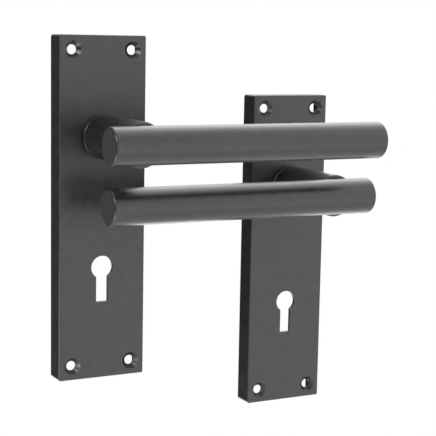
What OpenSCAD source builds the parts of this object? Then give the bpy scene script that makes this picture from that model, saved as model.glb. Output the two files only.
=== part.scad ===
// Handed pair of round-bar lever handles on hollow backplates with keyholes.
// Each handle is drawn lying on the door: X along its lever, Y up the door,
// Z out of the door toward the hand, with Z = 0 on the door. It is stood up
// at the end of the file, the left one at the origin with its spindle axis.

/* [Backplate] */
// Height of the backplate
plate_h = 150; // [140:1:180]
// Width of the backplate
plate_w = 40; // [39.5:0.5:50]
// Depth of the backplate, door to front face
plate_t = 10; // [9.8:0.1:13]
// Thickness of the front skin
plate_skin = 1.5; // [1.3:0.1:2.4]
// Thickness of the side walls round the hollow back
plate_wall = 1.1; // [0.9:0.1:1.7]
// Corner radius of the outline
corner_r = 1.2; // [0.8:0.1:5]
// Rounding of the front edges
edge_r = 0.6; // [0.3:0.1:1.2]
// Spindle axis below the top edge
spindle_drop = 43.5; // [38:0.5:48]
// Height of the cast ribs inside
rib_h = 1.6; // [1:0.1:2.5]
// Thickness of the cast ribs inside
rib_t = 1.4; // [1:0.1:2]

/* [Wood screw holes] */
// Diameter of the screw holes
screw_hole_d = 4.2; // [3.8:0.1:5]
// Diameter of the countersinks at the face
countersink_d = 7.6; // [6.5:0.1:8.5]
// Hole centres in from the edges of the plate
screw_inset = 6.25; // [5:0.05:8]
// Thickness of the plate at the screw holes
screw_seat = 2.2; // [2:0.1:3]

/* [Keyhole] */
// Spindle axis to keyhole centre
key_centres = 57; // [50:1:72]
// Diameter of the round part
key_d = 10; // [8:0.5:12]
// Width of the slot
key_slot_w = 5.4; // [4.5:0.1:6.5]
// Slot end below the centre of the round part
key_slot_drop = 15.3; // [13:0.1:20]
// Edge of the keyhole to the rib round it
key_rib_gap = 1.5; // [1:0.1:2.5]

/* [Lever] */
// Diameter of the neck
neck_d = 19; // [18.5:0.5:22]
// Length of the neck, plate face to its front disc
neck_len = 42; // [40:0.5:50]
// Chamfer on the neck's edges
neck_edge = 0.5; // [0.3:0.1:1]
// Foot of the neck to the fine groove round it
foot_groove = 1.6; // [1.2:0.1:3]
// Width of that groove
foot_groove_w = 0.8; // [0.4:0.1:1]
// Diameter of the grip bar
bar_d = 16; // [15:0.1:16.5]
// Length of the grip bar with its caps
bar_len = 128; // [110:1:150]
// Grip bar past the neck axis at its inner end
bar_overhang = 15.5; // [13.5:0.5:20]
// Grip bar axis in front of the neck's front disc
bar_lift = 2.5; // [1.5:0.1:3.5]
// Wall of the grip tube
tube_wall = 1.5; // [1:0.1:2]
// Visible thickness of the end caps
cap_t = 1.6; // [1.2:0.1:3]
// Edge rounding of the end caps
cap_edge = 1; // [0.3:0.1:1.1]
// Length of the cap spigots inside the tube
cap_spigot = 5; // [3:0.5:5.5]
// Length of the threaded insert inside the tube
insert_len = 14; // [10:0.5:16]
// Lever travel from level to pressed down, degrees
travel = 45; // [35:1:50]

/* [Spindle and screws] */
// Width of the square spindle socket
socket_w = 8.1; // [7.8:0.1:8.4]
// Door to the bottom of the spindle socket
socket_depth = 39; // [34:0.5:41]
// Diameter of the grip screw and of the grub screw
m4_d = 4; // [3.5:0.1:4.4]
// Diameter of the grip screw's head
m4_head_d = 7; // [6.5:0.1:7.5]
// Height of the grip screw's head
m4_head_h = 4; // [3:0.1:5]
// Length of the grip screw's shank
m4_len = 16; // [13:0.5:18]
// Door to the axis of the grub screw
grub_z = 24; // [18:0.5:28]
// Width across the flats of the hexagon sockets
hex_w = 2.5; // [2:0.1:3]

/* [Return mechanism] */
// Diameter of the neck's journal
journal_d = 14; // [13.4:0.1:14.4]
// Width across the two drive flats
flat_w = 12; // [11.5:0.1:12.6]
// Wall of the bearing bush
bush_wall = 1.2; // [1:0.1:1.6]
// Thickness of the bush's flange under the neck
flange_t = 0.5; // [0.4:0.1:1]
// Rim of the neck past the bush's flange
flange_shadow = 0.6; // [0.4:0.1:1]
// Wall of the hub boss round the bush
boss_wall = 2.2; // [1.8:0.1:2.4]
// Thickness of the drive plate
drive_t = 1.5; // [1.2:0.1:1.8]
// Thickness of the cover plate
cover_t = 1; // [0.8:0.1:1.3]
// Thickness of the thrust washer
washer_t = 0.4; // [0.3:0.1:0.6]
// Thickness of the retaining ring
clip_t = 0.8; // [0.6:0.1:1]
// Depth of the retaining ring's groove
groove_depth = 0.5; // [0.3:0.05:0.6]
// Neck tail left behind the retaining ring
tail_land = 0.5; // [0.4:0.1:0.7]
// Diameter of the spring wire
wire_d = 1.1; // [0.8:0.1:1.2]
// Gap between the hub boss and the coil
coil_gap = 1; // [0.8:0.1:1.1]
// Diameter of the stop pins and of the spring's anchor post
pin_d = 3; // [2.5:0.1:3.2]
// Radius of the circle of stop pins
pin_circle_r = 15.5; // [15.4:0.1:16]
// Width of the drive plate's tab
tab_w = 6; // [5:0.1:6.5]
// Diameter of the cover's screws
m25_d = 2.5; // [2:0.1:2.8]
// Length of the cover's screws
m25_len = 4; // [3:0.1:4.5]
// Wall of the cover's screw posts
post_wall = 1.2; // [1:0.1:1.4]
// Side gap between the cover plate and the backplate's walls
cover_clear = 1.8; // [1.2:0.1:2.2]
// Screw posts from the spindle axis, along the plate
post_dy = 16; // [15.6:0.1:18]

/* [Display of the pair] */
// Right handle beside the left one, axis to axis
pair_x = 104; // [102:0.5:130]
// Right handle below the left one
pair_drop = 27; // [26:0.5:32]
// Right handle behind the left one, so that the levers pass
pair_back = 18; // [18:0.5:24]

/* [Clearances] */
// Radial clearance of turning and screwed fits
run_gap = 0.05; // [0.03:0.01:0.08]
// Axial play between turning and fixed pieces
play = 0.1; // [0.06:0.01:0.12]
// Clearance of pieces that are fitted and stay put
fit_gap = 0.05; // [0.02:0.01:0.08]

/* [Hidden] */
$fn = 64;

over = 1;              // how far a cutter runs past what it cuts
arc_steps = 5;         // flats in a rounded edge

// Heights above the door of the stack behind the front skin
tail_z = 0.1;
clip_z = tail_z + tail_land;
washer_z = clip_z + clip_t;
cover_z = washer_z + washer_t + play;
drive_z = cover_z + cover_t + play;
boss_z = drive_z + drive_t + play;
skin_z = plate_t - plate_skin;
collar_z = plate_t + flange_t + play;
neck_z = plate_t + neck_len;
bar_z = neck_z + bar_lift;

// Radii round the spindle axis
journal_r = journal_d/2;
bush_r = journal_r + run_gap + bush_wall;
bore_r = bush_r + fit_gap;
boss_r = bore_r + boss_wall;
flange_r = neck_d/2 - flange_shadow;
coil_r = boss_r + coil_gap + wire_d/2;
coil_out_r = coil_r + wire_d/2;
disc_r = pin_circle_r - pin_d/2 - 2.4;
washer_r = journal_r + 2;
ring_out_r = journal_r + 1.6;

// Plate outline, from the spindle axis
plate_mid_y = spindle_drop - plate_h/2;
plate_foot_y = spindle_drop - plate_h;

// Wood screw holes and the ribs between them
screw_dx = plate_w - 2*screw_inset;
screw_dy = plate_h - 2*screw_inset;
seat_r = countersink_d/2 + 0.8;
rib_dx = screw_dx/4;

// Drive plate, stops and spring, as angles from X toward Y
rest_angle = 90 + travel/2;
lug_w = 2;
lug_in_r = coil_out_r + 0.7;
lug_out_r = pin_circle_r;
tab_reach = pin_circle_r + 1.5;
stop_angle = asin((tab_w/2 + pin_d/2 + run_gap)/pin_circle_r);
spring_wrap = 408;
anchor_angle = rest_angle + spring_wrap - 360;
bend_r = lug_w/2 + wire_d/2 + run_gap;
leg_end_r = tab_reach - 0.5;
anchor_r = pin_circle_r - 0.5;
anchor_offset = bend_r - wire_d/2 - pin_d/2 - run_gap;
spring_top_z = skin_z - play - wire_d/2;
spring_low_z = boss_z + play + wire_d/2;
pin_seat = 0.8;

// Grip bar
bar_r = bar_d/2;
bore_tube_r = bar_r - tube_wall;
bar_in_x = -bar_overhang;
bar_out_x = bar_len - bar_overhang;
saddle_r = bar_r + fit_gap;
shank_hole_r = m4_d/2 + 0.15;

// Grub screw
grub_in = socket_w/2 + 0.3;
grub_out = neck_d/2 - 0.4;

// Cover plate
post_r = m25_d/2 + run_gap + post_wall;
pilot_r = m25_d/2 + run_gap;
cover_edge = post_r + 0.6;
cover_w = plate_w - 2*plate_wall - 2*cover_clear;
post_dx = cover_w/2 - cover_edge;
m25_head_r = m25_d*0.9;
m25_head_h = 1.2;

black = [0.12, 0.12, 0.13];
zinc_plate = [0.70, 0.71, 0.73];
spring_steel = [0.45, 0.46, 0.48];
nylon = [0.08, 0.08, 0.09];

function arc(cx, cy, r, a0, a1, steps=arc_steps) =
  [for (i=[0:steps]) let (a=a0 + (a1 - a0)*i/steps) [cx + r*cos(a), cy + r*sin(a)]];

// A rectangle with round corners, centred
module rounded_rect(w, h, r) {
  square([w - 2*r, h], center=true);
  square([w, h - 2*r], center=true);
  for (sx=[-1, 1], sy=[-1, 1]) translate([sx*(w/2 - r), sy*(h/2 - r)]) circle(r);
}

// A flat piece between two heights above the door
module slab(z0, z1) {
  translate([0, 0, z0]) linear_extrude(z1 - z0) children();
}

// A cylinder between two heights above the door
module rod(r, z0, z1) {
  translate([0, 0, z0]) cylinder(r=r, h=z1 - z0);
}

// A cylinder along the grip bar's axis
module bar_rod(r, x0, x1) {
  translate([x0, 0, bar_z]) rotate([0, 90, 0]) cylinder(r=r, h=x1 - x0);
}

// Hexagon socket that opens downward at its mouth and runs up from there
module hex_socket(depth) {
  translate([0, 0, -over]) cylinder(d=hex_w/cos(30), h=depth + over, $fn=6);
}

// Section of the plate across one direction, with its two front edges rounded
module edge_section(w) {
  polygon(concat(
    [[-w/2, 0], [w/2, 0]],
    arc(w/2 - edge_r, plate_t - edge_r, edge_r, 0, 90),
    arc(-w/2 + edge_r, plate_t - edge_r, edge_r, 90, 180)
  ));
}

module plate_block() {
  intersection() {
    slab(0, plate_t) rounded_rect(plate_w, plate_h, corner_r);
    rotate([90, 0, 0]) linear_extrude(plate_h + 2*over, center=true) edge_section(plate_w);
    rotate([90, 0, 90]) linear_extrude(plate_w + 2*over, center=true) edge_section(plate_h);
  }
}

module key_outline(grow) {
  circle(key_d/2 + grow);
  translate([-key_slot_w/2 - grow, -key_slot_drop - grow])
    square([key_slot_w + 2*grow, key_slot_drop + grow]);
}

module at_key() {
  translate([0, -key_centres, 0]) children();
}

module at_posts() {
  for (sx=[-1, 1], sy=[-1, 1]) translate([sx*post_dx, sy*post_dy, 0]) children();
}

// Once for each corner, with X and Y pointing to it
module at_wood_screws() {
  translate([0, plate_mid_y, 0]) for (mx=[0, 1], my=[0, 1])
    mirror([mx, 0, 0]) mirror([0, my, 0]) translate([screw_dx/2, screw_dy/2, 0]) children();
}

module at_stops() {
  for (a=[rest_angle + stop_angle, rest_angle - travel - stop_angle])
    rotate(a) translate([pin_circle_r, 0, 0]) children();
}

// Everything cast on the inside of the front skin
module plate_inside() {
  rod(boss_r, boss_z, skin_z + over);
  at_posts() rod(post_r, cover_z + cover_t, skin_z + over);
  rotate(anchor_angle) translate([anchor_r, anchor_offset, 0])
    rod(pin_d/2, cover_z + cover_t, skin_z + over);
  at_wood_screws() slab(plate_t - screw_seat, skin_z + over)
    translate([-seat_r, -seat_r]) square(seat_r + screw_inset - plate_wall/2);
  at_key() slab(skin_z - rib_h, skin_z + over) difference() {
    key_outline(key_rib_gap + rib_t);
    key_outline(key_rib_gap);
  }
  for (sx=[-1, 1]) {
    translate([sx*rib_dx - rib_t/2, plate_foot_y + plate_wall - over, skin_z - rib_h])
      cube([rib_t, plate_h - spindle_drop - plate_wall - post_dy + over, rib_h + over]);
    translate([sx*rib_dx - rib_t/2, post_dy, skin_z - rib_h])
      cube([rib_t, spindle_drop - plate_wall - post_dy + over, rib_h + over]);
  }
}

module backplate() {
  color(black) difference() {
    union() {
      difference() {
        translate([0, plate_mid_y, 0]) plate_block();
        translate([0, plate_mid_y, 0]) slab(-over, skin_z)
          rounded_rect(plate_w - 2*plate_wall, plate_h - 2*plate_wall, 1);
      }
      plate_inside();
    }
    rod(bore_r, -over, plate_t + over);
    at_key() slab(-over, plate_t + over) key_outline(0);
    at_wood_screws() {
      rod(screw_hole_d/2, -over, plate_t + over);
      translate([0, 0, plate_t - (countersink_d - screw_hole_d)/2])
        cylinder(d1=screw_hole_d, d2=countersink_d + 2*over, h=(countersink_d - screw_hole_d)/2 + over);
    }
    at_posts() rod(pilot_r, -over, cover_z + m25_len + 0.4);
    at_stops() rod(pin_d/2 + fit_gap, -over, skin_z + pin_seat);
  }
}

module neck_bush() {
  color(nylon) rotate_extrude() polygon([
    [journal_r + run_gap, boss_z], [bush_r, boss_z], [bush_r, plate_t],
    [flange_r, plate_t], [flange_r, plate_t + flange_t], [journal_r + run_gap, plate_t + flange_t]
  ]);
}

module neck() {
  groove_top = clip_z + clip_t + play/2;
  foot_z = collar_z + foot_groove;
  color(black) difference() {
    rotate_extrude() polygon([
      [0, tail_z], [journal_r - 0.2, tail_z], [journal_r, tail_z + 0.2], [journal_r, clip_z],
      [journal_r - groove_depth, clip_z], [journal_r - groove_depth, groove_top],
      [journal_r, groove_top], [journal_r, collar_z],
      [neck_d/2 - neck_edge, collar_z], [neck_d/2, collar_z + neck_edge],
      [neck_d/2, foot_z - foot_groove_w/2], [neck_d/2 - foot_groove_w/2, foot_z],
      [neck_d/2, foot_z + foot_groove_w/2],
      [neck_d/2, neck_z - neck_edge], [neck_d/2 - neck_edge, neck_z], [0, neck_z]
    ]);
    for (s=[-1, 1]) translate([s*(flat_w/2 + journal_r) - journal_r, -journal_r, -over])
      cube([2*journal_r, 2*journal_r, boss_z + over]);
    translate([-socket_w/2, -socket_w/2, -over]) cube([socket_w, socket_w, socket_depth + over]);
    rod(shank_hole_r, 0, neck_z);
    bar_rod(saddle_r, -neck_d, neck_d);
    translate([0, 0, grub_z]) rotate([90, 0, 0]) cylinder(r=m4_d/2 + run_gap, h=neck_d);
  }
}

module drive_plate() {
  color(spring_steel) difference() {
    union() {
      slab(drive_z, drive_z + drive_t) {
        circle(disc_r);
        rotate(rest_angle) translate([0, -tab_w/2]) square([tab_reach, tab_w]);
      }
      rotate(rest_angle) translate([lug_in_r, -lug_w/2, drive_z])
        cube([lug_out_r - lug_in_r, lug_w, skin_z - 0.3 - drive_z]);
    }
    slab(0, skin_z) intersection() {
      circle(journal_r + run_gap);
      square([flat_w + 2*run_gap, 2*journal_r + 2], center=true);
    }
  }
}

module cover_plate() {
  color(zinc_plate) slab(cover_z, cover_z + cover_t) difference() {
    rounded_rect(cover_w, 2*(post_dy + cover_edge), 2.5);
    circle(journal_r + 0.4);
    at_posts() circle(m25_d/2 + 0.15);
  }
}

module cover_screws() {
  color(zinc_plate) at_posts() difference() {
    union() {
      rod(m25_head_r, cover_z - m25_head_h, cover_z);
      rod(m25_d/2, cover_z - 0.2, cover_z + m25_len);
    }
    translate([0, 0, cover_z - m25_head_h]) scale(0.6) hex_socket(1);
  }
}

module stop_pins() {
  color(zinc_plate) at_stops() rod(pin_d/2, cover_z + cover_t, skin_z + pin_seat);
}

module thrust_washer() {
  color(zinc_plate) slab(washer_z, washer_z + washer_t) difference() {
    circle(washer_r);
    circle(journal_r + run_gap);
  }
}

module retaining_ring() {
  mouth = 24;
  eye_r = 1.4;
  color(spring_steel) slab(clip_z, clip_z + clip_t) difference() {
    union() {
      difference() {
        circle(ring_out_r);
        rotate(-90) polygon([[0, 0], [3*ring_out_r*cos(mouth), -3*ring_out_r*sin(mouth)],
          [3*ring_out_r, 0], [3*ring_out_r*cos(mouth), 3*ring_out_r*sin(mouth)]]);
      }
      for (s=[-1, 1]) rotate(-90 + s*(mouth + 6)) translate([ring_out_r + 0.2, 0]) circle(eye_r);
    }
    circle(journal_r - groove_depth + run_gap);
    for (s=[-1, 1]) rotate(-90 + s*(mouth + 6)) translate([ring_out_r + 0.2, 0]) circle(0.6);
  }
}

// A point on the radius at angle a, moved sideways from it
function polar(r, a, side, z) = [r*cos(a) - side*sin(a), r*sin(a) + side*cos(a), z];

// Points of the spring: fixed leg, bend, coil, bend and moving leg. Its coil
// runs from beside the skin to beside the drive plate.
function spring_path() = concat(
  [polar(leg_end_r, anchor_angle, bend_r, spring_top_z)],
  [for (i=[0:3]) let (b=90*i/3)
    polar(coil_r + bend_r*(1 - sin(b)), anchor_angle, bend_r*cos(b), spring_top_z)],
  [for (i=[1:26]) let (u=i/27)
    polar(coil_r, anchor_angle - spring_wrap*u, 0, spring_top_z + (spring_low_z - spring_top_z)*u)],
  [for (i=[0:3]) let (b=90*i/3)
    polar(coil_r + bend_r*(1 - cos(b)), rest_angle, -bend_r*sin(b), spring_low_z)],
  [polar(leg_end_r, rest_angle, -bend_r, spring_low_z)]
);

function unit(v) = v/norm(v);

// A round wire of n sides along a path that nowhere runs straight up
module wire(path, r, n=8) {
  last = len(path) - 1;
  rings = [for (i=[0:last])
    let (t=unit(path[min(i + 1, last)] - path[max(i - 1, 0)]), u=unit(cross([0, 0, 1], t)), v=cross(t, u))
      for (k=[0:n - 1]) path[i] + r*cos(360*k/n)*u + r*sin(360*k/n)*v];
  sides = [for (i=[0:last - 1], k=[0:n - 1]) let (a=i*n + k, b=i*n + (k + 1)%n)
    [[a, a + n, b + n], [a, b + n, b]]];
  faces = concat(
    [for (pair=sides, f=pair) f],
    [for (k=[1:n - 2]) [0, k, k + 1]],
    [for (k=[1:n - 2]) [last*n, last*n + k + 1, last*n + k]]
  );
  polyhedron(rings, faces);
}

module return_spring() {
  color(spring_steel) wire(spring_path(), wire_d/2);
}

module grip_tube() {
  color(black) difference() {
    bar_rod(bar_r, bar_in_x + cap_t, bar_out_x - cap_t);
    bar_rod(bore_tube_r, bar_in_x, bar_out_x);
    rod(shank_hole_r, neck_z - bar_r, bar_z);
  }
}

module grip_insert() {
  color(zinc_plate) difference() {
    bar_rod(bore_tube_r - fit_gap, -insert_len/2, insert_len/2);
    rod(m4_d/2 + run_gap, bar_z - bar_r, bar_z + bar_r);
  }
}

// End cap with its outer face at the origin, pointing along +Z
module end_cap() {
  color(black) rotate_extrude() polygon(concat(
    [[0, -cap_t - cap_spigot], [bore_tube_r - fit_gap - 0.5, -cap_t - cap_spigot],
     [bore_tube_r - fit_gap, -cap_t - cap_spigot + 0.5], [bore_tube_r - fit_gap, -cap_t],
     [bar_r, -cap_t]],
    arc(bar_r - cap_edge, -cap_edge, cap_edge, 0, 90),
    [[0, 0]]
  ));
}

module inner_cap() {
  translate([bar_in_x, 0, bar_z]) rotate([0, -90, 0]) end_cap();
}

module outer_cap() {
  translate([bar_out_x, 0, bar_z]) rotate([0, 90, 0]) end_cap();
}

module grip_screw() {
  color(zinc_plate) difference() {
    union() {
      rod(m4_head_d/2, socket_depth - m4_head_h, socket_depth);
      rod(m4_d/2, socket_depth - 0.2, socket_depth + m4_len);
    }
    translate([0, 0, socket_depth - m4_head_h]) hex_socket(2);
  }
}

module grub_screw() {
  color(zinc_plate) translate([0, -grub_out, grub_z]) rotate([-90, 0, 0]) difference() {
    cylinder(d=m4_d, h=grub_out - grub_in);
    hex_socket(2);
  }
}

module left_hand() {
  rotate([90, 0, 0]) children();
}

module right_hand() {
  translate([pair_x, pair_back, -pair_drop]) rotate([90, 0, 0]) mirror([1, 0, 0]) children();
}

left_hand() backplate();  // left_backplate
left_hand() neck_bush();  // left_neck_bush
left_hand() return_spring();  // left_return_spring
left_hand() stop_pins();  // left_stop_pins
left_hand() cover_plate();  // left_cover_plate
left_hand() cover_screws();  // left_cover_screws
left_hand() neck();  // left_neck
left_hand() drive_plate();  // left_drive_plate
left_hand() thrust_washer();  // left_thrust_washer
left_hand() retaining_ring();  // left_retaining_ring
left_hand() grip_tube();  // left_grip_tube
left_hand() grip_insert();  // left_grip_insert
left_hand() inner_cap();  // left_inner_cap
left_hand() outer_cap();  // left_outer_cap
left_hand() grip_screw();  // left_grip_screw
left_hand() grub_screw();  // left_grub_screw
right_hand() backplate();  // right_backplate
right_hand() neck_bush();  // right_neck_bush
right_hand() return_spring();  // right_return_spring
right_hand() stop_pins();  // right_stop_pins
right_hand() cover_plate();  // right_cover_plate
right_hand() cover_screws();  // right_cover_screws
right_hand() neck();  // right_neck
right_hand() drive_plate();  // right_drive_plate
right_hand() thrust_washer();  // right_thrust_washer
right_hand() retaining_ring();  // right_retaining_ring
right_hand() grip_tube();  // right_grip_tube
right_hand() grip_insert();  // right_grip_insert
right_hand() inner_cap();  // right_inner_cap
right_hand() outer_cap();  // right_outer_cap
right_hand() grip_screw();  // right_grip_screw
right_hand() grub_screw();  // right_grub_screw
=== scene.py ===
"""A handed pair of round-bar lever handles on backplates, dressed for rendering."""
import logging
import math
from dataclasses import dataclass, replace
from enum import Enum

import bmesh
import bpy
from mathutils import Matrix, Vector


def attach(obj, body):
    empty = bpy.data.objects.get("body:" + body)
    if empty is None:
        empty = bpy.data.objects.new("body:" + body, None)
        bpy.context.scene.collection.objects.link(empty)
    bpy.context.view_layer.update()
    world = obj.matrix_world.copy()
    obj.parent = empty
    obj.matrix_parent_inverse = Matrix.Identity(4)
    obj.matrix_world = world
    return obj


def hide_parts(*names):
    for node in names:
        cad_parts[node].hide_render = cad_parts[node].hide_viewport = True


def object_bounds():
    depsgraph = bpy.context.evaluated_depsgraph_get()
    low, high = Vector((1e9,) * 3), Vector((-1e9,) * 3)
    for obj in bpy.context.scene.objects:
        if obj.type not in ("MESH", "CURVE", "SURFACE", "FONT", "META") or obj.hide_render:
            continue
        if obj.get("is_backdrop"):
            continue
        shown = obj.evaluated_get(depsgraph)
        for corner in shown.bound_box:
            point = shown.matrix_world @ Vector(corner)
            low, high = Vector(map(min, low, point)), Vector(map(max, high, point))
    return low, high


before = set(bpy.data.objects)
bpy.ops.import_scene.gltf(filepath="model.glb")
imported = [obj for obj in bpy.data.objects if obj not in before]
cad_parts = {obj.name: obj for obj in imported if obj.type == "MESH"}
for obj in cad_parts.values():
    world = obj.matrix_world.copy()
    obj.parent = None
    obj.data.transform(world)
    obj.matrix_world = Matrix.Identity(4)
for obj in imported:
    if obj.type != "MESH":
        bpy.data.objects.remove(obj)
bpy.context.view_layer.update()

LOG = logging.getLogger("lever_handles")
MM = 0.001
# The right handle's spindle axis at the back of its plate, seen from the left handle's.
RIGHT_AXIS = Vector((104 * MM, 18 * MM, -27 * MM))
NUMBER = "NodeSocketFloat"
VECTOR = "NodeSocketVector"
Colour = tuple[float, float, float]
# What a node's input takes: a number, a colour, a vector, or another node's output.
Feed = bpy.types.NodeSocket | float | tuple | Vector


class Hand(Enum):
    """The two handles of the pair."""

    LEFT = "left"
    RIGHT = "right"

    def node(self, part: str) -> str:
        """Returns the name of this hand's node for a part."""
        return f"{self.value}_{part}"

    def solid(self, part: str) -> bpy.types.Object:
        """Returns this hand's object for a part."""
        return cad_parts[self.node(part)]

    def place(self, point: Vector) -> Vector:
        """Turns a point from the handle's own frame into the pair's.

        Args:
            point: X along the lever, Y up the door and Z out of it.

        Returns:
            The point in the frame that both handles share.
        """
        if self is Hand.LEFT:
            return Vector((point.x, -point.z, point.y))
        return Vector((RIGHT_AXIS.x - point.x, RIGHT_AXIS.y - point.z, RIGHT_AXIS.z + point.y))


class Ray(Enum):
    """Outputs of the Light Path node that see some or all of the white background."""

    CAMERA = "Is Camera Ray"
    GLOSSY = "Is Glossy Ray"
    TRANSMISSION = "Is Transmission Ray"


def polar(reach: float, angle: float, side: float, height: float) -> Vector:
    """Returns a point by its distance from the spindle's axis.

    Args:
        reach: Distance from the axis.
        angle: Turn from the lever's direction, in degrees.
        side: Distance across that direction.
        height: Height above the plate's back plane.

    Returns:
        The point in the handle's own frame.
    """
    along, across = math.cos(math.radians(angle)), math.sin(math.radians(angle))
    return Vector((reach * along - side * across, reach * across + side * along, height))


class NodeSheet:
    """A node tree with short calls for adding and joining nodes."""

    def __init__(self, tree: bpy.types.NodeTree) -> None:
        """Keeps the tree that nodes are added to.

        Args:
            tree: The shader or group tree.
        """
        self.tree = tree

    def add(self, kind: str, **settings: object) -> bpy.types.Node:
        """Adds a node.

        Args:
            kind: Blender's type name of the node.
            settings: Attributes to set on the node.

        Returns:
            The new node.
        """
        node = self.tree.nodes.new(kind)
        for name, value in settings.items():
            setattr(node, name, value)
        return node

    def join(self, source: bpy.types.NodeSocket, target: bpy.types.NodeSocket) -> None:
        """Links an output to an input."""
        self.tree.links.new(source, target)

    def feed(self, target: bpy.types.NodeSocket, value: Feed) -> None:
        """Gives an input its value.

        Args:
            target: The input.
            value: A number, colour or vector, or the output that the input is linked to.
        """
        if isinstance(value, bpy.types.NodeSocket):
            self.join(value, target)
        else:
            target.default_value = value

    def math(self, operation: str, a: Feed, b: Feed, clamp: bool = False) -> bpy.types.NodeSocket:
        """Adds a Math node.

        Args:
            operation: Name of the operation.
            a: What feeds the first input.
            b: What feeds the second input.
            clamp: Whether the result is kept between 0 and 1.

        Returns:
            The node's output.
        """
        node = self.add("ShaderNodeMath", operation=operation, use_clamp=clamp)
        self.feed(node.inputs[0], a)
        self.feed(node.inputs[1], b)
        return node.outputs["Value"]

    def vector_math(self, operation: str, a: Feed, b: Feed) -> bpy.types.NodeSocket:
        """Adds a Vector Math node that puts out a number.

        Args:
            operation: Name of the operation.
            a: What feeds the first input.
            b: What feeds the second input.

        Returns:
            The node's output.
        """
        node = self.add("ShaderNodeVectorMath", operation=operation)
        self.feed(node.inputs[0], a)
        self.feed(node.inputs[1], b)
        return node.outputs["Value"]

    def mix(self, share: Feed, low: Feed, high: Feed) -> bpy.types.NodeSocket:
        """Mixes two colours.

        Args:
            share: Share of the second colour.
            low: The first colour, with its alpha.
            high: The second colour, with its alpha.

        Returns:
            The mixed colour.
        """
        node = self.add("ShaderNodeMix", data_type="RGBA")
        for name, value in (("Factor", share), ("A", low), ("B", high)):
            self.feed(node.inputs[name], value)
        return node.outputs["Result"]

    def remap(
        self, value: Feed, low: Feed, high: Feed, start: Feed = 0.0, end: Feed = 1.0,
        smooth: bool = False,
    ) -> bpy.types.NodeSocket:
        """Spreads a value between two others.

        Args:
            value: What is spread.
            low: What is reached at the start.
            high: What is reached at the end.
            start: Where the spread starts.
            end: Where it ends.
            smooth: Whether it eases in and out.

        Returns:
            The spread value.
        """
        kind = "SMOOTHSTEP" if smooth else "LINEAR"
        node = self.add("ShaderNodeMapRange", interpolation_type=kind)
        feeds = {
            "Value": value, "From Min": start, "From Max": end, "To Min": low, "To Max": high,
        }
        for name, given in feeds.items():
            self.feed(node.inputs[name], given)
        return node.outputs["Result"]

    def group(
        self, tree: bpy.types.NodeTree, values: dict[str, Feed], label: str = "",
    ) -> bpy.types.Node:
        """Places a node group.

        Args:
            tree: The group's tree.
            values: What feeds its inputs, by their names.
            label: The title that the node shows.

        Returns:
            The group's node.
        """
        node = self.add("ShaderNodeGroup", node_tree=tree, label=label)
        for name, value in values.items():
            self.feed(node.inputs[name], value)
        return node


def new_group(
    name: str, inputs: dict[str, tuple[str, object]], outputs: tuple[str, ...],
) -> tuple[NodeSheet, bpy.types.Node, bpy.types.Node]:
    """Starts a shader node group.

    Args:
        name: The group's name.
        inputs: Socket kind and default value by input name.
        outputs: Names of the outputs, which are numbers.

    Returns:
        The group's sheet, its input node and its output node.
    """
    tree = bpy.data.node_groups.new(name, "ShaderNodeTree")
    for label, (kind, value) in inputs.items():
        socket = tree.interface.new_socket(name=label, in_out="INPUT", socket_type=kind)
        socket.default_value = value
    for label in outputs:
        tree.interface.new_socket(name=label, in_out="OUTPUT", socket_type=NUMBER)
    sheet = NodeSheet(tree)
    return sheet, sheet.add("NodeGroupInput"), sheet.add("NodeGroupOutput")


def surface_grain_group() -> bpy.types.NodeTree:
    """Makes the group for a fine-grained surface, such as powder coat or a casting.

    Returns:
        A group that puts out a tint from 0 to 1, a roughness and a height.
    """
    inputs = {
        "Grain Scale": (NUMBER, 2500.0),
        "Grain Detail": (NUMBER, 3.0),
        "Cloud Scale": (NUMBER, 40.0),
        "Cloud Detail": (NUMBER, 4.0),
        "Cloud Amount": (NUMBER, 0.5),
        "Contrast": (NUMBER, 2.5),
        "Roughness Low": (NUMBER, 0.4),
        "Roughness High": (NUMBER, 0.5),
    }
    sheet, source, target = new_group("surface_grain", inputs, ("Tint", "Roughness", "Height"))
    place = sheet.add("ShaderNodeTexCoord").outputs["Object"]
    grain = sheet.add("ShaderNodeTexNoise")
    cloud = sheet.add("ShaderNodeTexNoise")
    for noise, label in ((grain, "Grain"), (cloud, "Cloud")):
        sheet.join(place, noise.inputs["Vector"])
        sheet.join(source.outputs[f"{label} Scale"], noise.inputs["Scale"])
        sheet.join(source.outputs[f"{label} Detail"], noise.inputs["Detail"])
    middle = 0.5
    clouding = sheet.math("MULTIPLY", cloud.outputs["Fac"], source.outputs["Cloud Amount"])
    share = sheet.math("SUBTRACT", 1.0, source.outputs["Cloud Amount"])
    graining = sheet.math("MULTIPLY", grain.outputs["Fac"], share)
    blend = sheet.math("ADD", clouding, graining)
    off_middle = sheet.math("SUBTRACT", blend, middle)
    spread = sheet.math("MULTIPLY", off_middle, source.outputs["Contrast"])
    tint = sheet.math("ADD", spread, middle, clamp=True)
    rough = sheet.remap(tint, source.outputs["Roughness Low"], source.outputs["Roughness High"])
    sheet.join(tint, target.inputs["Tint"])
    sheet.join(rough, target.inputs["Roughness"])
    sheet.join(grain.outputs["Fac"], target.inputs["Height"])
    return sheet.tree


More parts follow.
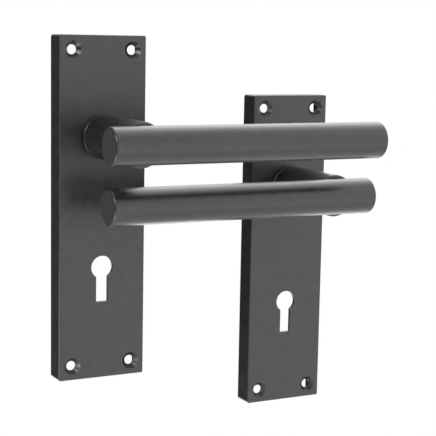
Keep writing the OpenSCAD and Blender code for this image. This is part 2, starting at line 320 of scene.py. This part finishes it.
def edge_highlight_and_wear_group() -> bpy.types.NodeTree:
    """Makes the group that finds a piece's edges, where a highlight is painted and a coat thins
    and rubs.

    Returns:
        A group that puts out a mask, 1 on edges that get the painted highlight and the wear.
    """
    inputs = {
        "Reach": (NUMBER, 0.4 * MM),
        "Amount": (NUMBER, 1.0),
        "Break Up Scale": (NUMBER, 300.0),
    }
    sheet, source, target = new_group("edge_highlight_and_wear", inputs, ("Mask",))
    bevel = sheet.add("ShaderNodeBevel", samples=4)
    sheet.join(source.outputs["Reach"], bevel.inputs["Radius"])
    flat = sheet.add("ShaderNodeNewGeometry").outputs["Normal"]
    along = sheet.vector_math("DOT_PRODUCT", bevel.outputs["Normal"], flat)
    turned = sheet.math("SUBTRACT", 1.0, along)
    noise = sheet.add("ShaderNodeTexNoise")
    sheet.join(sheet.add("ShaderNodeTexCoord").outputs["Object"], noise.inputs["Vector"])
    sheet.join(source.outputs["Break Up Scale"], noise.inputs["Scale"])
    lit_and_worn = sheet.math("MULTIPLY", turned, noise.outputs["Fac"])
    mask = sheet.math("MULTIPLY", lit_and_worn, source.outputs["Amount"], clamp=True)
    sheet.join(mask, target.inputs["Mask"])
    return sheet.tree


def bar_end_face_group() -> bpy.types.NodeTree:
    """Makes the group that finds the flat faces across a round bar, which runs along X.

    Returns:
        A group that puts out a mask, 1 on the bar's end faces.
    """
    inputs = {"Least": (NUMBER, 0.97), "Full": (NUMBER, 0.995)}
    sheet, source, target = new_group("bar_end_face", inputs, ("Mask",))
    parts = sheet.add("ShaderNodeSeparateXYZ")
    sheet.join(sheet.add("ShaderNodeTexCoord").outputs["Normal"], parts.inputs["Vector"])
    facing = sheet.add("ShaderNodeMath", operation="ABSOLUTE")
    sheet.join(parts.outputs["X"], facing.inputs["Value"])
    least, full = source.outputs["Least"], source.outputs["Full"]
    mask = sheet.remap(facing.outputs["Value"], 0.0, 1.0, least, full, smooth=True)
    sheet.join(mask, target.inputs["Mask"])
    return sheet.tree


def recess_group() -> bpy.types.NodeTree:
    """Makes the group that finds narrow grooves, where a coat lies thick and dull.

    Its inputs Open and Closed are the shares of free surroundings at which the mask starts and
    is full.

    Returns:
        A group that puts out a mask, 1 inside narrow grooves.
    """
    inputs = {"Reach": (NUMBER, 0.8 * MM), "Open": (NUMBER, 0.95), "Closed": (NUMBER, 0.70)}
    sheet, source, target = new_group("recess", inputs, ("Mask",))
    hollow = sheet.add("ShaderNodeAmbientOcclusion", samples=4, only_local=True)
    sheet.join(source.outputs["Reach"], hollow.inputs["Distance"])
    wide, narrow = source.outputs["Open"], source.outputs["Closed"]
    mask = sheet.remap(hollow.outputs["AO"], 0.0, 1.0, wide, narrow, smooth=True)
    sheet.join(mask, target.inputs["Mask"])
    return sheet.tree


def panel_glow_group() -> bpy.types.NodeTree:
    """Makes the group for a soft bright panel of the room.

    Returns:
        A group that puts out the panel's brightness in a direction.
    """
    inputs = {
        "Direction": (VECTOR, (0.0, 0.0, 1.0)),
        "Toward": (VECTOR, (0.0, 0.0, 1.0)),
        "Tightness": (NUMBER, 9.0),
        "Brightness": (NUMBER, 1.0),
    }
    sheet, source, target = new_group("panel_glow", inputs, ("Glow",))
    along = sheet.vector_math("DOT_PRODUCT", source.outputs["Direction"], source.outputs["Toward"])
    away = sheet.math("SUBTRACT", along, 1.0)
    fall = sheet.add("ShaderNodeMath", operation="EXPONENT")
    sheet.join(sheet.math("MULTIPLY", away, source.outputs["Tightness"]), fall.inputs["Value"])
    glow = sheet.math("MULTIPLY", fall.outputs["Value"], source.outputs["Brightness"])
    sheet.join(glow, target.inputs["Glow"])
    return sheet.tree


class Effects:
    """The shared node groups, each built once."""

    def __init__(self) -> None:
        """Builds the groups."""
        self.surface_grain = surface_grain_group()
        self.edge_highlight_and_wear = edge_highlight_and_wear_group()
        self.bar_end_face = bar_end_face_group()
        self.recess = recess_group()


@dataclass(frozen=True)
class Finish:
    """One finish of the handles' pieces.

    Attributes:
        name: The material's name.
        dark: Colour at the low end of the grain.
        light: Colour at the high end of the grain.
        edge: Colour on edges: a painted highlight on the coats, wear on the bare metal and the
            nylon.
        edge_amount: How strongly the edge colour shows.
        metallic: 0 for a coat or plastic, 1 for bare metal.
        roughness: Least and greatest roughness.
        grain_size: Distance between grains, in metres.
        grain_depth: Depth of the grain, in metres.
        cloud_size: Size of the slow variation, in metres.
        cloud_amount: Share of the slow variation in the tint.
        specular: Specular level of the coat.
        mirror_tint: Colour of what a coat mirrors.
        face: A lighter colour on a bar's flat end faces, where they differ.
        recess_roughness: Roughness in narrow grooves, where it differs.
    """

    name: str
    dark: Colour
    light: Colour
    edge: Colour
    edge_amount: float
    metallic: float
    roughness: tuple[float, float]
    grain_size: float
    grain_depth: float
    cloud_size: float
    cloud_amount: float
    specular: float = 0.5
    mirror_tint: Colour = (1.0, 1.0, 1.0)
    face: Colour | None = None
    recess_roughness: float | None = None

    def material(self, effects: Effects) -> bpy.types.Material:
        """Builds the finish.

        Args:
            effects: The shared node groups.

        Returns:
            A material of this finish.
        """
        material = bpy.data.materials.new(self.name)
        material.use_nodes = True
        sheet = NodeSheet(material.node_tree)
        shader = material.node_tree.nodes["Principled BSDF"]
        shader.inputs["Metallic"].default_value = self.metallic
        shader.inputs["Specular IOR Level"].default_value = self.specular
        shader.inputs["Specular Tint"].default_value = (*self.mirror_tint, 1.0)

        grain = sheet.group(effects.surface_grain, {
            "Grain Scale": 1.0 / self.grain_size,
            "Cloud Scale": 1.0 / self.cloud_size,
            "Cloud Amount": self.cloud_amount,
            "Roughness Low": self.roughness[0],
            "Roughness High": self.roughness[1],
        })
        roughness = grain.outputs["Roughness"]
        if self.recess_roughness is not None:
            recess = sheet.group(effects.recess, {})
            roughness = sheet.remap(recess.outputs["Mask"], roughness, self.recess_roughness)
        sheet.join(roughness, shader.inputs["Roughness"])
        colour = self.colouring(sheet, effects, grain.outputs["Tint"])
        sheet.join(colour, shader.inputs["Base Color"])
        bump = sheet.add("ShaderNodeBump")
        bump.inputs["Distance"].default_value = self.grain_depth
        sheet.join(grain.outputs["Height"], bump.inputs["Height"])
        sheet.join(bump.outputs["Normal"], shader.inputs["Normal"])
        return material

    def colouring(
        self, sheet: NodeSheet, effects: Effects, tint: bpy.types.NodeSocket,
    ) -> bpy.types.NodeSocket:
        """Colours the surface by its grain, its edges, which carry a painted highlight and wear,
        and its flat end faces.

        Args:
            sheet: The material's nodes.
            effects: The shared node groups.
            tint: The grain's tint, from 0 to 1.

        Returns:
            The colour.
        """
        colour = sheet.mix(tint, (*self.dark, 1.0), (*self.light, 1.0))
        # Lightens the edges: a painted highlight on the coats, wear on the other finishes.
        edge_highlight_and_wear_mask = sheet.group(effects.edge_highlight_and_wear, {"Amount": self.edge_amount})
        colour = sheet.mix(edge_highlight_and_wear_mask.outputs["Mask"], colour, (*self.edge, 1.0))
        # The bar's flat end faces take a lighter colour of their own.
        if self.face is not None:
            turned = sheet.group(effects.bar_end_face, {})
            colour = sheet.mix(turned.outputs["Mask"], colour, (*self.face, 1.0))
        return colour


def grey(value: float, warmth: float = 0.0) -> Colour:
    """Returns a grey that leans to red for a positive warmth and to blue for a negative one."""
    return (value * (1.0 + warmth), value, value * (1.0 - warmth))


# The coat is nearly black, so its look comes mostly from what it mirrors.
# The coats' light edge colours paint a highlight along the rounded edges.
PLATE_COAT = Finish(
    name="powder_coat_plate", dark=grey(0.0005, -0.03), light=grey(0.0165, -0.03), edge=grey(0.15),
    edge_amount=3.0, metallic=0.0, roughness=(0.35, 0.41), grain_size=0.45 * MM,
    grain_depth=0.002 * MM, cloud_size=5 * MM, cloud_amount=0.7, specular=0.8,
    mirror_tint=(0.94, 0.95, 1.0),
)
LEVER_COAT = replace(
    PLATE_COAT, name="powder_coat_lever", edge=grey(0.04), edge_amount=0.8,
    roughness=(0.32, 0.38), grain_size=0.40 * MM, grain_depth=0.0012 * MM, recess_roughness=0.75,
)
CAP_COAT = replace(
    PLATE_COAT, name="powder_coat_cap", edge_amount=2.0, roughness=(0.32, 0.38),
    grain_size=0.35 * MM, cloud_size=3 * MM, cloud_amount=0.5, face=grey(0.036),
)
BLACK_NYLON = Finish(
    name="black_nylon", dark=grey(0.018), light=grey(0.028), edge=grey(0.05),
    edge_amount=0.4, metallic=0.0, roughness=(0.45, 0.60), grain_size=0.6 * MM,
    grain_depth=0.006 * MM, cloud_size=8 * MM, cloud_amount=0.4,
)
ZINC_PLATE = Finish(
    name="zinc_plated_steel", dark=grey(0.50, 0.01), light=grey(0.68, -0.02), edge=grey(0.78),
    edge_amount=0.7, metallic=1.0, roughness=(0.24, 0.40), grain_size=0.8 * MM,
    grain_depth=0.003 * MM, cloud_size=5 * MM, cloud_amount=0.6,
)
SPRING_STEEL = Finish(
    name="oiled_spring_steel", dark=grey(0.16, 0.02), light=grey(0.26, 0.01), edge=grey(0.45),
    edge_amount=0.7, metallic=1.0, roughness=(0.28, 0.42), grain_size=0.5 * MM,
    grain_depth=0.003 * MM, cloud_size=6 * MM, cloud_amount=0.5,
)


class Wardrobe:
    """Builds each finish when a piece first asks for it."""

    def __init__(self, effects: Effects) -> None:
        """Keeps the shared node groups.

        Args:
            effects: The groups that every finish uses.
        """
        self.effects = effects
        self.made: dict[str, bpy.types.Material] = {}

    def dress(self, obj: bpy.types.Object, finish: Finish) -> None:
        """Gives an object one finish in all its material slots.

        Args:
            obj: The object to dress.
            finish: The finish to wear.
        """
        if finish.name not in self.made:
            self.made[finish.name] = finish.material(self.effects)
        material = self.made[finish.name]
        if not obj.material_slots:
            obj.data.materials.append(material)
        for slot in obj.material_slots:
            slot.material = material
        LOG.info("%s wears %s", obj.name, finish.name)


@dataclass
class Backplate:
    """A backplate with the bush in its bore.

    Attributes:
        hand: Which handle it belongs to.
    """

    hand: Hand

    def dress(self, wardrobe: Wardrobe) -> None:
        """Gives the plate its coat and the bush its nylon.

        Args:
            wardrobe: The finishes.
        """
        wardrobe.dress(self.hand.solid("backplate"), PLATE_COAT)
        wardrobe.dress(self.hand.solid("neck_bush"), BLACK_NYLON)


@dataclass
class Lever:
    """A neck with its grip bar.

    Attributes:
        hand: Which handle it belongs to.
    """

    hand: Hand

    def dress(self, wardrobe: Wardrobe) -> None:
        """Coats the neck, bar and caps and plates the screws.

        Args:
            wardrobe: The finishes.
        """
        for part in ("neck", "grip_tube"):
            wardrobe.dress(self.hand.solid(part), LEVER_COAT)
        for part in ("inner_cap", "outer_cap"):
            wardrobe.dress(self.hand.solid(part), CAP_COAT)
        for part in ("grip_insert", "grip_screw", "grub_screw"):
            wardrobe.dress(self.hand.solid(part), ZINC_PLATE)


@dataclass
class ReturnMechanism:
    """The spring, drive plate, stops and cover behind a backplate.

    The spring's sizes are in metres, in the handle's own frame: X along the lever, Y up the door
    and Z out of it, from the spindle's axis at the plate's back plane.

    Attributes:
        hand: Which handle it belongs to.
        coil_radius: From the spindle's axis to the middle of the wire.
        wire_radius: Half the wire's thickness.
        bend_radius: Of the bend from the coil into a leg.
        leg_reach: From the axis to the end of a leg.
        top: Height of the wire at the plate.
        bottom: Height of the wire at the cover.
        anchor_angle: Of the leg that the plate holds, in degrees.
        rest_angle: Of the leg that the drive plate's tab pushes.
        wrap: Turn of the coil from one leg to the other.
        coil_steps: Points along the coil.
        bend_steps: Points along a bend.
    """

    hand: Hand
    coil_radius: float = 12.05 * MM
    wire_radius: float = 0.55 * MM
    bend_radius: float = 1.6 * MM
    leg_reach: float = 16.5 * MM
    top: float = 7.85 * MM
    bottom: float = 5.25 * MM
    anchor_angle: float = 160.5
    rest_angle: float = 112.5
    wrap: float = 408.0
    coil_steps: int = 120
    bend_steps: int = 8

    def spring_path(self) -> list[Vector]:
        """Returns the points that the spring's wire follows, in the handle's own frame."""
        bend = self.bend_radius
        turns = [math.radians(90 * step / self.bend_steps) for step in range(self.bend_steps + 1)]
        path = [polar(self.leg_reach, self.anchor_angle, bend, self.top)]
        for turn in turns:
            reach = self.coil_radius + bend * (1 - math.sin(turn))
            path.append(polar(reach, self.anchor_angle, bend * math.cos(turn), self.top))
        for step in range(1, self.coil_steps):
            share = step / self.coil_steps
            angle = self.anchor_angle - self.wrap * share
            height = self.top + (self.bottom - self.top) * share
            path.append(polar(self.coil_radius, angle, 0.0, height))
        for turn in turns:
            reach = self.coil_radius + bend * (1 - math.cos(turn))
            path.append(polar(reach, self.rest_angle, -bend * math.sin(turn), self.bottom))
        path.append(polar(self.leg_reach, self.rest_angle, -bend, self.bottom))
        return path

    def build_spring(self) -> bpy.types.Object:
        """Winds the torsion spring as one smooth round wire.

        Returns:
            The spring, which stands for the faceted one of the CAD model.
        """
        node = self.hand.node("return_spring")
        wire = bpy.data.curves.new(f"{self.hand.value}_spring_wire", "CURVE")
        wire.dimensions = "3D"
        # A point's radius scales the bevel, and the curve's own box counts the radius alone.
        wire.bevel_depth = 1.0
        wire.bevel_resolution = 4
        wire.use_fill_caps = True
        points = [self.hand.place(point) for point in self.spring_path()]
        spline = wire.splines.new("POLY")
        spline.points.add(len(points) - 1)
        for point, place in zip(spline.points, points):
            point.co = (*place, 1.0)
            point.radius = self.wire_radius
        spline.use_smooth = True
        spring = bpy.data.objects.new(wire.name, wire)
        bpy.context.scene.collection.objects.link(spring)
        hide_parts(node)
        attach(spring, "plates")
        return spring

    def dress(self, wardrobe: Wardrobe) -> None:
        """Winds the spring, and finishes the plated pieces and the spring steel pieces.

        Args:
            wardrobe: The finishes.
        """
        for part in ("cover_plate", "cover_screws", "stop_pins", "thrust_washer"):
            wardrobe.dress(self.hand.solid(part), ZINC_PLATE)
        for part in ("drive_plate", "retaining_ring"):
            wardrobe.dress(self.hand.solid(part), SPRING_STEEL)
        wardrobe.dress(self.build_spring(), SPRING_STEEL)


@dataclass(frozen=True)
class Softbox:
    """One soft rectangular lamp.

    Attributes:
        name: The lamp's name.
        place: Where its middle hangs, in metres.
        width: Its width.
        height: Its height.
        brightness: Its radiance, where 1 is white.
    """

    name: str
    place: Vector
    width: float
    height: float
    brightness: float

    def hang(self, aim: Vector) -> None:
        """Hangs the lamp.

        Args:
            aim: The point that the lamp faces.
        """
        data = bpy.data.lights.new(self.name, "AREA")
        data.shape = "RECTANGLE"
        data.size = self.width
        data.size_y = self.height
        data.energy = self.brightness * math.pi * self.width * self.height
        lamp = bpy.data.objects.new(self.name, data)
        lamp.location = self.place
        lamp.rotation_euler = (aim - self.place).to_track_quat("-Z", "Y").to_euler()
        lamp.visible_camera = False
        bpy.context.scene.collection.objects.link(lamp)
        LOG.info("%s hangs", lamp.name)


@dataclass(frozen=True)
class Panel:
    """One broad bright panel of the room, far off.

    Attributes:
        name: What the panel is.
        toward: The way to its middle.
        tightness: How quickly its light falls off from there; 9 is about 45 degrees across.
        brightness: Its radiance in the middle, where 1 is white.
    """

    name: str
    toward: Vector
    tightness: float
    brightness: float


@dataclass
class Studio:
    """Floor, background, lamps and camera.

    A black coat shows mostly what it mirrors, so the room is dark and its panels are bright.

    Attributes:
        camera_place: Where the camera stands, in metres.
        camera_aim: The point in the middle of its view.
        camera_roll: Turn about its line of sight, in degrees.
        camera_lens: Focal length on a 36 mm sensor.
        floor_drop: Depth of the floor below the lowest piece.
        floor_radius: Distance from the floor's middle to its edge.
        floor_fade: Share of that distance where the floor starts to fade out.
        floor_colour: The floor's own colour.
        floor_roughness: How dull the floor is.
        floor_glow: Brightness that gloss shows on the floor behind the object.
        floor_glow_place: Middle of that bright place, from the floor's middle.
        floor_glow_radius: Distance from there to where the glow ends.
        room: Brightness of the room between the panels.
        mirrored_background: Share of the white background that gloss shows between the panels.
        panels: The room's bright panels.
        softboxes: The lamps near the object.
    """

    camera_place: Vector = Vector((-0.20732, -0.51970, 0.04472))
    camera_aim: Vector = Vector((0.04625, -0.03000, -0.03484))
    camera_roll: float = 1.092
    camera_lens: float = 105.16
    floor_drop: float = 0.25
    floor_radius: float = 0.75
    floor_fade: float = 0.6
    floor_colour: Colour = (0.88, 0.88, 0.88)
    floor_roughness: float = 0.7
    floor_glow: float = 3.8
    floor_glow_place: Vector = Vector((0.24, 0.42, 0.0))
    floor_glow_radius: float = 0.38
    room: float = 0.015
    mirrored_background: float = 0.015
    panels: tuple[Panel, ...] = (
        Panel("top_panel", Vector((0.42, 0.56, 0.71)), 9.0, 2.95),
        Panel("rear_panel", Vector((0.38, 0.75, 0.54)), 20.0, 1.15),
        Panel("overhead_panel", Vector((0.05, 0.05, 1.00)), 7.0, 1.45),
        Panel("high_left_panel", Vector((-0.34, 0.31, 0.88)), 9.0, 0.5),
        Panel("right_panel", Vector((0.90, 0.34, 0.27)), 8.0, 1.4),
        Panel("high_front_panel", Vector((0.69, -0.44, 0.58)), 9.0, 1.5),
        Panel("front_panel", Vector((0.36, -0.92, 0.15)), 9.0, 1.31),
        Panel("low_front_panel", Vector((0.50, -0.72, -0.48)), 9.0, 1.50),
        Panel("table_panel", Vector((0.25, -0.55, -0.80)), 9.0, 0.65),
        Panel("left_panel", Vector((-0.86, -0.50, 0.04)), 9.0, 0.12),
        Panel("back_left_panel", Vector((-0.38, 0.92, -0.10)), 12.0, 0.05),
        Panel("back_panel", Vector((0.37, 0.92, 0.12)), 20.0, 0.45),
        Panel("low_back_panel", Vector((0.45, 0.78, -0.43)), 12.0, 0.9),
    )
    softboxes: tuple[Softbox, ...] = (
        Softbox("left_strip", Vector((-0.28, -0.61, -0.04)), 0.08, 0.50, 6.5),
        Softbox("low_card", Vector((-0.13, -0.06, -0.12)), 0.08, 0.08, 6.0),
        Softbox("high_card", Vector((-0.29, -0.15, 0.19)), 0.12, 0.12, 15.0),
    )

    def build(self) -> None:
        """Builds everything in the studio."""
        self.build_camera()
        self.build_world()
        self.build_floor()
        for softbox in self.softboxes:
            softbox.hang(self.camera_aim)

    def build_camera(self) -> None:
        """Stands the camera at the photograph's viewing angle."""
        data = bpy.data.cameras.new("camera")
        data.sensor_width = 36.0
        data.lens = self.camera_lens
        data.clip_start = 0.01
        camera = bpy.data.objects.new("camera", data)
        bpy.context.scene.collection.objects.link(camera)
        look = (self.camera_aim - self.camera_place).to_track_quat("-Z", "Y").to_matrix().to_4x4()
        roll = Matrix.Rotation(math.radians(self.camera_roll), 4, "Z")
        camera.matrix_world = Matrix.Translation(self.camera_place) @ look @ roll
        bpy.context.scene.camera = camera

    def build_world(self) -> None:
        """Makes the room: white where it is seen, and bright panels as a light."""
        world = bpy.data.worlds.new("room")
        world.use_nodes = True
        bpy.context.scene.world = world
        sheet = NodeSheet(world.node_tree)
        background = world.node_tree.nodes["Background"]
        background.inputs["Color"].default_value = (1.0, 1.0, 1.0, 1.0)
        direction = sheet.add("ShaderNodeTexCoord").outputs["Generated"]
        tree = panel_glow_group()
        light = self.room
        for panel in self.panels:
            glow = sheet.group(tree, {
                "Direction": direction,
                "Toward": panel.toward.normalized(),
                "Tightness": panel.tightness,
                "Brightness": panel.brightness,
            }, panel.name)
            light = sheet.math("ADD", glow.outputs["Glow"], light)
        rays = sheet.add("ShaderNodeLightPath").outputs
        sheen = sheet.math("MULTIPLY", rays[Ray.GLOSSY.value], self.mirrored_background)
        light = sheet.math("ADD", light, sheen)
        seen = sheet.math("MAXIMUM", rays[Ray.CAMERA.value], rays[Ray.TRANSMISSION.value])
        sheet.join(sheet.remap(seen, light, 1.0), background.inputs["Strength"])

    def build_floor(self) -> None:
        """Lays the floor under the object."""
        low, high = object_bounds()
        mesh = bpy.data.meshes.new("floor")
        form = bmesh.new()
        bmesh.ops.create_circle(form, cap_ends=True, segments=96, radius=self.floor_radius)
        form.to_mesh(mesh)
        form.free()
        mesh.materials.append(self.floor_material())
        floor = bpy.data.objects.new("floor", mesh)
        floor.location = ((low.x + high.x) / 2, (low.y + high.y) / 2, low.z - self.floor_drop)
        bpy.context.scene.collection.objects.link(floor)
        floor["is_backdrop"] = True

    def floor_material(self) -> bpy.types.Material:
        """Makes the plain pale floor, which glows in gloss and fades out at its edge.

        Returns:
            The floor's material.
        """
        material = bpy.data.materials.new("pale_floor")
        material.use_nodes = True
        sheet = NodeSheet(material.node_tree)
        shader = material.node_tree.nodes["Principled BSDF"]
        shader.inputs["Base Color"].default_value = (*self.floor_colour, 1.0)
        shader.inputs["Roughness"].default_value = self.floor_roughness
        place = sheet.add("ShaderNodeTexCoord").outputs["Object"]

        away = sheet.vector_math("DISTANCE", place, self.floor_glow_place)
        glow = sheet.remap(away, self.floor_glow, 0.0, end=self.floor_glow_radius, smooth=True)
        rays = sheet.add("ShaderNodeLightPath").outputs
        sheen = sheet.math("MULTIPLY", rays[Ray.GLOSSY.value], glow)
        sheet.join(sheen, shader.inputs["Emission Color"])
        shader.inputs["Emission Strength"].default_value = 1.0

        out = sheet.vector_math("DISTANCE", place, Vector((0.0, 0.0, 0.0)))
        fade_start = self.floor_radius * self.floor_fade
        fade = sheet.remap(out, 1.0, 0.0, fade_start, self.floor_radius, smooth=True)
        sheet.join(fade, shader.inputs["Alpha"])
        return material


def main() -> None:
    """Builds the studio and dresses both handles."""
    logging.basicConfig(level=logging.INFO, format="%(name)s: %(message)s")
    bpy.context.scene.view_settings.view_transform = "Standard"
    Studio().build()
    wardrobe = Wardrobe(Effects())
    for hand in Hand:
        for assembly in (Backplate(hand), Lever(hand), ReturnMechanism(hand)):
            assembly.dress(wardrobe)


if __name__ == "__main__":
    main()
